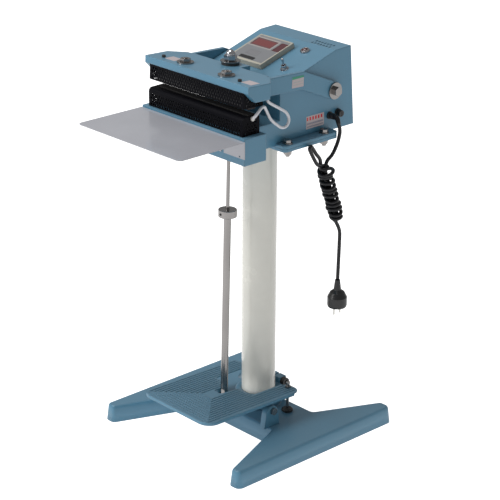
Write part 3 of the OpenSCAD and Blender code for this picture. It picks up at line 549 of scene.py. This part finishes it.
def build_surface():
    """Fine grain, broad tone and settled dirt on any surface."""
    group, given, result = new_group(
        "surface", [("Grain", "NodeSocketFloat", 900.0), ("Broad", "NodeSocketFloat", 9.0),
                    ("Stretch", "NodeSocketVector", (1, 1, 1))],
        [("Height", "NodeSocketFloat"), ("Tone", "NodeSocketFloat"), ("Dirt", "NodeSocketFloat")])
    place = group.nodes.new("ShaderNodeTexCoord").outputs["Object"]
    stretched = wire(group, "ShaderNodeVectorMath", {"operation": "MULTIPLY"}, in0=place,
                     in1=given.outputs["Stretch"]).outputs[0]
    grain = wire(group, "ShaderNodeTexNoise", Vector=stretched, Scale=given.outputs["Grain"], Detail=2.0)
    broad = wire(group, "ShaderNodeTexNoise", Vector=place, Scale=given.outputs["Broad"], Detail=4.0)
    specks = wire(group, "ShaderNodeTexNoise", Vector=place, Scale=160.0, Detail=6.0, Roughness=0.7)
    soil = math_node(group, "MULTIPLY", span(group, broad.outputs[0], 0.45, 0.7),
                     span(group, specks.outputs[0], 0.52, 0.72))
    group.links.new(grain.outputs[0], result.inputs["Height"])
    group.links.new(span(group, broad.outputs[0], 0.3, 0.7), result.inputs["Tone"])
    group.links.new(soil, result.inputs["Dirt"])
    return group


def build_weave():
    """A plain braid over round sleeves and cloth."""
    group, given, result = new_group("braid", [("Pitch", "NodeSocketFloat", 1400.0)],
                                     [("Height", "NodeSocketFloat")])
    place = group.nodes.new("ShaderNodeTexCoord").outputs["Object"]
    waves = []
    for direction in ((1, 1, 0.6), (-1, 1, 0.6), (0.6, -1, 1)):
        along = wire(group, "ShaderNodeVectorMath", {"operation": "DOT_PRODUCT"}, in0=place, in1=direction)
        waves.append(math_node(group, "SINE", math_node(group, "MULTIPLY", along.outputs["Value"],
                                                        given.outputs["Pitch"])))
    total = math_node(group, "ADD", math_node(group, "MULTIPLY", waves[0], waves[1]), waves[2])
    group.links.new(span(group, total, -1.5, 1.5), result.inputs["Height"])
    return group


def build_patch():
    """A rectangle in the plane of two directions: 1 inside it, 0 outside."""
    group, given, result = new_group(
        "patch", [("Across", "NodeSocketVector", (1, 0, 0)), ("Up", "NodeSocketVector", (0, 0, 1)),
                  ("Centre", "NodeSocketVector", (0, 0, 0)), ("Width", "NodeSocketFloat", 0.1),
                  ("Height", "NodeSocketFloat", 0.1), ("Bars", "NodeSocketFloat", 0.0)],
        [("Inside", "NodeSocketFloat"), ("Bars", "NodeSocketFloat")])
    place = wire(group, "ShaderNodeVectorMath", {"operation": "SUBTRACT"},
                 in0=group.nodes.new("ShaderNodeTexCoord").outputs["Object"], in1=given.outputs["Centre"])
    inside = []
    for direction, size in (("Across", "Width"), ("Up", "Height")):
        along = wire(group, "ShaderNodeVectorMath", {"operation": "DOT_PRODUCT"}, in0=place.outputs[0],
                     in1=given.outputs[direction]).outputs["Value"]
        near = math_node(group, "LESS_THAN", math_node(group, "ABSOLUTE", along),
                         math_node(group, "MULTIPLY", given.outputs[size], 0.5))
        inside.append((near, along))
    mask = math_node(group, "MULTIPLY", inside[0][0], inside[1][0])
    wave = math_node(group, "SINE", math_node(group, "MULTIPLY", inside[0][1], given.outputs["Bars"]))
    group.links.new(mask, result.inputs["Inside"])
    group.links.new(math_node(group, "MULTIPLY", mask, math_node(group, "GREATER_THAN", wave, -0.3)),
                    result.inputs["Bars"])
    return group


SOFT_EDGE = build_soft_edge()
PATCH = build_patch()
SURFACE = build_surface()
BRAID = build_weave()


def use(tree, group, **values):
    made = tree.nodes.new("ShaderNodeGroup")
    made.node_tree = group
    for key, value in values.items():
        made.inputs[key].default_value = value
    return made


def mark(tree, colour, patches):
    """Lays plain patches over a colour. Each is (colour, centre, across, up, width, height, bars)."""
    for paint, centre, across, up, width, height, bars in patches:
        patch = use(tree, PATCH, Centre=centre, Across=across, Up=up, Width=width, Height=height, Bars=bars)
        colour = blend_colour(tree, patch.outputs["Bars" if bars else "Inside"], colour, (*paint, 1))
    return colour


# Grey of the painted sheen on up-facing faces: a painted reflection of the bright sky on the tops.
TOP_SHEEN_GREY = (0.34, 0.32, 0.30, 1)
DIRT_SHADE = 0.35
# How far edges are lightened: partly rubbed wear, partly a painted highlight on the rounded edges.
EDGE_WEAR_AND_HIGHLIGHT = 0.6


def finish_material(name, colour, roughness, metallic=0.0, coat=0.0, grain=900.0, depth=0.02, tone=0.06,
                    dirt=0.1, edge_radius=0.0012, edge_light=0.12, stretch=(1, 1, 1), specular=0.5, braid=0.0,
                    rough_swing=0.06, patches=(), top_sheen=0.0):
    """A surface of one finish: tone, edge wear lightened further as a painted edge highlight, dirt, a painted
    grey sheen on up-facing faces and grain over a shader of its own.
    """
    made = bpy.data.materials.new(name)
    made.use_nodes = True
    tree = made.node_tree
    shader = tree.nodes["Principled BSDF"]
    surface = use(tree, SURFACE, Grain=grain, Stretch=stretch)
    base = (*colour, 1)
    dark = tuple(c * (1 - tone) for c in colour) + (1,)
    light = tuple(min(1, c * (1 + tone)) for c in colour) + (1,)
    toned = blend_colour(tree, surface.outputs["Tone"], dark, light)
    toned = mark(tree, toned, patches)
    # Painted sheen: faces are mixed toward grey by how far they face upwards, standing in for the sky's
    # reflection on the tops.
    if top_sheen:
        normal = tree.nodes.new("ShaderNodeNewGeometry").outputs["Normal"]
        facing = wire(tree, "ShaderNodeSeparateXYZ", Vector=normal)
        toned = blend_colour(tree, span(tree, facing.outputs["Z"], 0.2, 1.0, 0.0, top_sheen), toned, TOP_SHEEN_GREY)
    height = surface.outputs["Height"]
    if braid:
        height = use(tree, BRAID, Pitch=braid).outputs["Height"]
        toned = blend_colour(tree, span(tree, height, 0.0, 1.0, 0.0, 0.35), toned, dark)
    if edge_radius:
        edges = use(tree, SOFT_EDGE, Radius=edge_radius)
        # Edges are lightened toward white: rubbed wear together with a painted highlight where light catches
        # the rounded edge.
        worn_and_lit_edge = tuple(min(1, c + (1 - c) * edge_light) for c in colour) + (1,)
        toned = blend_colour(tree, span(tree, edges.outputs["Edge"], 0.0, 1.0, 0.0, EDGE_WEAR_AND_HIGHLIGHT), toned, worn_and_lit_edge)
    soiled = blend_colour(tree, span(tree, surface.outputs["Dirt"], 0.0, 1.0, 0.0, dirt), toned,
                          tuple(c * DIRT_SHADE for c in colour) + (1,))
    tree.links.new(soiled, shader.inputs["Base Color"])
    tree.links.new(span(tree, surface.outputs["Tone"], 0.0, 1.0, max(0.02, roughness - rough_swing),
                        roughness + rough_swing), shader.inputs["Roughness"])
    bump = wire(tree, "ShaderNodeBump", Strength=1.0, Distance=depth / 1000, Height=height)
    if edge_radius:
        tree.links.new(edges.outputs["Normal"], bump.inputs["Normal"])
    tree.links.new(bump.outputs[0], shader.inputs["Normal"])
    shader.inputs["Metallic"].default_value = metallic
    shader.inputs["Coat Weight"].default_value = coat
    shader.inputs["Coat Roughness"].default_value = 0.12
    shader.inputs["Specular IOR Level"].default_value = specular
    return made


X_AXIS, Y_AXIS, Z_AXIS = (1, 0, 0), (0, 1, 0), (0, 0, 1)
PANEL_SLOPE = radians(17.1)
PANEL_UP = (0, cos(PANEL_SLOPE), sin(PANEL_SLOPE))


def on_panel(x, u):
    """A point on the sloping control panel, u up from its front edge."""
    return (x, -0.056 + u * PANEL_UP[1], 0.857 + u * PANEL_UP[2])


def arm_point(y, z):
    """A point on the jaw's arm, given for the closed jaw and turned with it to rest."""
    y, z = y - JAW_PIVOT.y, z - JAW_PIVOT.z
    return (0.134, JAW_PIVOT.y + y * cos(JAW_TURN) - z * sin(JAW_TURN),
            JAW_PIVOT.z + y * sin(JAW_TURN) + z * cos(JAW_TURN))


FACE_GREY = (0.19, 0.195, 0.205)
FACE = [(FACE_GREY, on_panel(-0.030, 0.093), X_AXIS, PANEL_UP, 0.098, 0.096, 0),
        ((0.33, 0.31, 0.30), on_panel(-0.043, 0.116), X_AXIS, PANEL_UP, 0.074, 0.039, 0),
        ((0.10, 0.10, 0.11), on_panel(-0.0355, 0.0735), X_AXIS, PANEL_UP, 0.035, 0.019, 0),
        ((0.24, 0.24, 0.25), on_panel(-0.0355, 0.0735), X_AXIS, PANEL_UP, 0.033, 0.017, 1050)]
SIDE_MARKS = [((0.55, 0.02, 0.03), (0.1219, 0.0525, 0.7665), Y_AXIS, Z_AXIS, 0.051, 0.008, 720),
              ((0.10, 0.12, 0.20), (0.1219, 0.0525, 0.7555), Y_AXIS, Z_AXIS, 0.051, 0.0045, 1900),
              ((0.10, 0.12, 0.20), (0.1219, 0.0525, 0.7485), Y_AXIS, Z_AXIS, 0.051, 0.0030, 2600)]
ARM_MARKS = [((0.03, 0.26, 0.16), arm_point(-0.0165, 0.8705), Y_AXIS, Z_AXIS, 0.035, 0.0075, 0),
             ((0.28, 0.36, 0.36), arm_point(-0.0165, 0.8595), Y_AXIS, Z_AXIS, 0.029, 0.0025, 1500),
             ((0.28, 0.36, 0.36), arm_point(-0.0165, 0.8535), Y_AXIS, Z_AXIS, 0.029, 0.0020, 1900)]
LABEL_MARKS = SIDE_MARKS + ARM_MARKS

FINISHES = {
    # The casting's up-facing faces get a painted grey sheen, standing in for reflected sky.
    "casting": finish_material("casting_blue", (0.074, 0.216, 0.326), 0.36, coat=0.2, specular=0.45,
                               top_sheen=0.11, grain=420, depth=0.05, edge_radius=0.0040, edge_light=0.07,
                               dirt=0.16, tone=0.05),
    "pole_paint": finish_material("pole_cream", (0.70, 0.69, 0.63), 0.24, coat=0.4, grain=300, depth=0.015,
                                  edge_light=0.0, dirt=0.05),
    "steel": finish_material("bright_steel", (0.29, 0.278, 0.272), 0.2, metallic=1.0, grain=300, depth=0.01,
                             stretch=(1, 1, 8), edge_radius=0.0006, tone=0.12),
    "dark_steel": finish_material("black_oxide", (0.05, 0.047, 0.046), 0.38, metallic=0.5,
                                  edge_radius=0.0005),
    "chrome": finish_material("polished_chrome", (0.46, 0.46, 0.48), 0.14, metallic=1.0, depth=0.004,
                              edge_radius=0.0008, rough_swing=0.04),
    "guard_paint": finish_material("guard_black", (0.004, 0.004, 0.006), 0.50, edge_radius=0.0003,
                                   edge_light=0.0, specular=0.05, dirt=0.0),
    "bar_metal": finish_material("bar_aluminium", (0.05, 0.05, 0.052), 0.5, metallic=0.6, edge_radius=0.0006),
    "silicone": finish_material("silicone_strip", (0.018, 0.017, 0.017), 0.7, specular=0.2,
                                edge_radius=0.0008),
    "release_cloth": finish_material("release_cloth", (0.035, 0.028, 0.024), 0.6, specular=0.2, braid=2600,
                                     depth=0.05, edge_radius=0.0005),
    "bezel": finish_material("beige_bezel", (0.42, 0.40, 0.33), 0.34, coat=0.3, grain=1400, depth=0.015,
                             edge_radius=0.0022, patches=FACE),
    "display": finish_material("display_window", (0.115, 0.052, 0.056), 0.10, coat=0.6, depth=0.003,
                               edge_radius=0.0004,
                               patches=[((0.165, 0.030, 0.030), on_panel(-0.043, 0.116), X_AXIS, PANEL_UP,
                                         0.058, 0.023, 0)]),
    "red_window": finish_material("red_window", (0.075, 0.008, 0.014), 0.10, coat=0.7, depth=0.003,
                                  edge_radius=0.0004),
    "black_plastic": finish_material("black_moulding", (0.013, 0.013, 0.014), 0.36, grain=1600, depth=0.02),
    "lamp_glass": finish_material("lamp_glass", (0.06, 0.008, 0.010), 0.08, coat=0.8, depth=0.002,
                                  edge_radius=0.0),
    "label": finish_material("blank_label", (0.46, 0.40, 0.41), 0.4, depth=0.004, edge_radius=0.0,
                             patches=LABEL_MARKS),
    "ceramic_white": finish_material("white_ceramic", (0.62, 0.61, 0.58), 0.2, coat=0.3),
    "lead_sleeve": finish_material("white_sleeve", (0.66, 0.67, 0.71), 0.6, braid=2200, depth=0.2,
                                   edge_radius=0.0),
    "cord_jacket": finish_material("cord_rubber", (0.006, 0.006, 0.008), 0.36, specular=0.35, depth=0.02,
                                   edge_radius=0.0),
    "pin_metal": finish_material("plug_pins", (0.62, 0.61, 0.58), 0.2, metallic=1.0, edge_radius=0.0004),
    "black_rubber": finish_material("buffer_rubber", (0.02, 0.02, 0.02), 0.55),
    "table_paint": finish_material("table_grey", (0.40, 0.405, 0.44), 0.2, coat=0.35, grain=260, depth=0.02,
                                   tone=0.04, edge_radius=0.0006),
}


def paint_nodes():
    """Gives each plain node the finish that the record names for it."""
    for part in RECORD["subparts"]:
        for slot in NODES[part["node"]].material_slots:
            slot.material = FINISHES[part["material_slot"]]


# Studio
FLOOR_HALF = 14.0
FLOOR_GLOW = (0.74, 1.15)
SKY_GLOW = (0.31, 1.0)
LIGHTS_AIM = (0, 0, 0.6)


def lit_or_seen(tree, lit, seen):
    """One strength for the light that falls on the object, and another for what the camera sees."""
    path = tree.nodes.new("ShaderNodeLightPath")
    return span(tree, path.outputs["Is Camera Ray"], 0.0, 1.0, lit, seen)


def add_floor():
    mesh = bpy.data.meshes.new("floor")
    corners = [(x * FLOOR_HALF, y * FLOOR_HALF, 0) for x, y in ((-1, -1), (1, -1), (1, 1), (-1, 1))]
    mesh.from_pydata(corners, [], [(0, 1, 2, 3)])
    floor = bpy.data.objects.new("floor", mesh)
    bpy.context.collection.objects.link(floor)
    made = bpy.data.materials.new("studio_floor")
    made.use_nodes = True
    shader = made.node_tree.nodes["Principled BSDF"]
    shader.inputs["Base Color"].default_value = (0.5, 0.5, 0.5, 1)
    shader.inputs["Roughness"].default_value = 0.9
    shader.inputs["Emission Color"].default_value = (1, 1, 1, 1)
    made.node_tree.links.new(lit_or_seen(made.node_tree, *FLOOR_GLOW), shader.inputs["Emission Strength"])
    mesh.materials.append(made)


def add_light(name, place, size, power):
    data = bpy.data.lights.new(name, "AREA")
    data.shape = "SQUARE"
    data.size = size
    data.energy = power
    lamp = bpy.data.objects.new(name, data)
    lamp.location = place
    lamp.rotation_euler = (Vector(LIGHTS_AIM) - Vector(place)).to_track_quat("-Z", "Y").to_euler()
    bpy.context.collection.objects.link(lamp)


def add_studio():
    world = bpy.data.worlds.new("studio")
    world.use_nodes = True
    world.node_tree.nodes["Background"].inputs["Color"].default_value = (1, 1, 1, 1)
    world.node_tree.links.new(lit_or_seen(world.node_tree, *SKY_GLOW),
                              world.node_tree.nodes["Background"].inputs["Strength"])
    bpy.context.scene.world = world
    bpy.context.scene.view_settings.view_transform = "Standard"
    add_floor()
    add_light("key", (-1.6, -3.2, 3.0), size=2.0, power=96)
    add_light("top", (-0.7, -0.5, 4.2), size=2.2, power=62)


add_camera()
add_power_cord()
add_base_casting()
add_strain_relief()
add_heater_lead()
add_guards()
paint_nodes()
add_studio()

bpy.context.view_layer.update()
